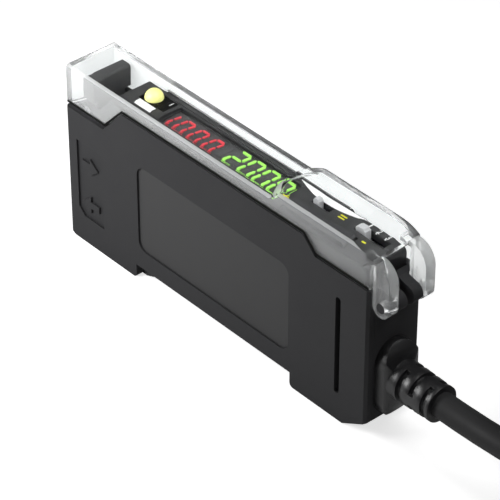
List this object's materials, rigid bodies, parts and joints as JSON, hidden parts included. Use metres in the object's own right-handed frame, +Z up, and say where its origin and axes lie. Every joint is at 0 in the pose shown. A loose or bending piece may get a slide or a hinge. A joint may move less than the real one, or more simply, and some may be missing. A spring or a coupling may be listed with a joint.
{
  "type": "fibre optic sensor amplifier",
  "caption": "Slim rail-mount fibre optic sensor amplifier with a clear hinged cover, clamp lever, fibre ports, displays, rocker, slide switches and a coiled cable.",
  "frame": {"origin": "under the middle of the housing and its cable boot, on the plane that the two feet stand on", "axes": "+X from the fibre end to the cable end, +Z up from the rail foot, the label side faces -Y"},
  "size_m": [0.1699, 0.0433, 0.0336],
  "materials": {
    "housing_black": "fine spark-eroded moulded plastic",
    "side_cover_black": "fine spark-eroded moulded plastic",
    "deck_black": "smooth moulded plastic",
    "film_grey": "matt printed film",
    "field_white": "matt white print",
    "window_smoke": "clear smoked plastic",
    "display_black": "black moulding compound",
    "digit_red": "lit red bar",
    "digit_green": "lit green bar",
    "bezel_black": "glossy black",
    "lens_amber": "milky amber light guide",
    "led_white": "white lamp case",
    "cover_clear": "clear polished plastic",
    "lever_black": "smooth moulded plastic",
    "pin_steel": "ground steel",
    "gripper_grey": "moulded plastic",
    "block_grey": "moulded plastic",
    "emitter_red": "clear red lamp case",
    "receiver_dark": "dark filter plastic",
    "board_green": "solder mask",
    "chip_black": "moulding compound",
    "header_gold": "gold-plated pins",
    "rocker_black": "smooth moulded plastic",
    "switch_steel": "stamped steel",
    "knob_grey": "grey moulded plastic",
    "boot_black": "glossy moulded rubber",
    "core_brown": "core insulation",
    "jacket_black": "matt cable jacket",
    "tie_black": "moulded tie"
  },
  "bodies": {
    "housing": {"main_housing": "housing_black", "side_cover": "side_cover_black", "top_deck": "deck_black", "face_film": "film_grey", "white_field": "field_white", "display_window": "window_smoke", "red_display": "display_black", "green_display": "display_black", "red_digits": "digit_red", "green_digits": "digit_green", "led_bezel": "bezel_black", "output_led_lens": "lens_amber", "output_led": "led_white", "clamp_pin": "pin_steel", "port_block": "block_grey", "emitter_led": "emitter_red", "receiver_diode": "receiver_dark", "main_board": "board_green", "display_board": "board_green", "microcontroller": "chip_black", "voltage_regulator": "chip_black", "output_transistors": "chip_black", "board_header": "header_gold", "button_switches": "switch_steel", "mode_switch": "switch_steel", "output_switch": "switch_steel", "strain_relief": "boot_black", "cable_cores": "core_brown", "cable": "jacket_black", "cable_coil": "jacket_black", "coil_tie": "tie_black", "lead_wires": "core_brown"},
    "dust_cover": {"dust_cover": "cover_clear"},
    "clamp_lever": {"clamp_lever": "lever_black"},
    "fibre_gripper": {"fibre_gripper": "gripper_grey"},
    "rocker_button": {"rocker_button": "rocker_black"},
    "mode_knob": {"mode_knob": "knob_grey"},
    "output_knob": {"output_knob": "knob_grey"}
  },
  "joints": [
    {"name": "cover_hinge", "type": "hinge", "parent": "housing", "child": "dust_cover", "pos_m": [0.03075, 0, 0.0247], "axis": [0, 1, 0], "range_deg": [0, 100]},
    {"name": "clamp_turn", "type": "hinge", "parent": "housing", "child": "clamp_lever", "pos_m": [-0.03495, 0, 0.0248], "axis": [0, -1, 0], "range_deg": [0, 16]},
    {"name": "gripper_slide", "type": "slide", "parent": "housing", "child": "fibre_gripper", "axis": [0, 0, 1], "range_m": [0, 0.00015]},
    {"name": "rocker_tilt", "type": "hinge", "parent": "housing", "child": "rocker_button", "pos_m": [0.01485, 0, 0.0278], "axis": [0, 1, 0], "range_deg": [-2.5, 2.5], "stiffness_Nm_per_rad": 0.02},
    {"name": "mode_slide", "type": "slide", "parent": "housing", "child": "mode_knob", "axis": [1, 0, 0], "range_m": [0, 0.0036]},
    {"name": "output_slide", "type": "slide", "parent": "housing", "child": "output_knob", "axis": [1, 0, 0], "range_m": [0, 0.002]}
  ],
  "couplings": [
    {"joint": "clamp_turn", "follows": "gripper_slide", "rad_per_m": 1859.8}
  ]
}
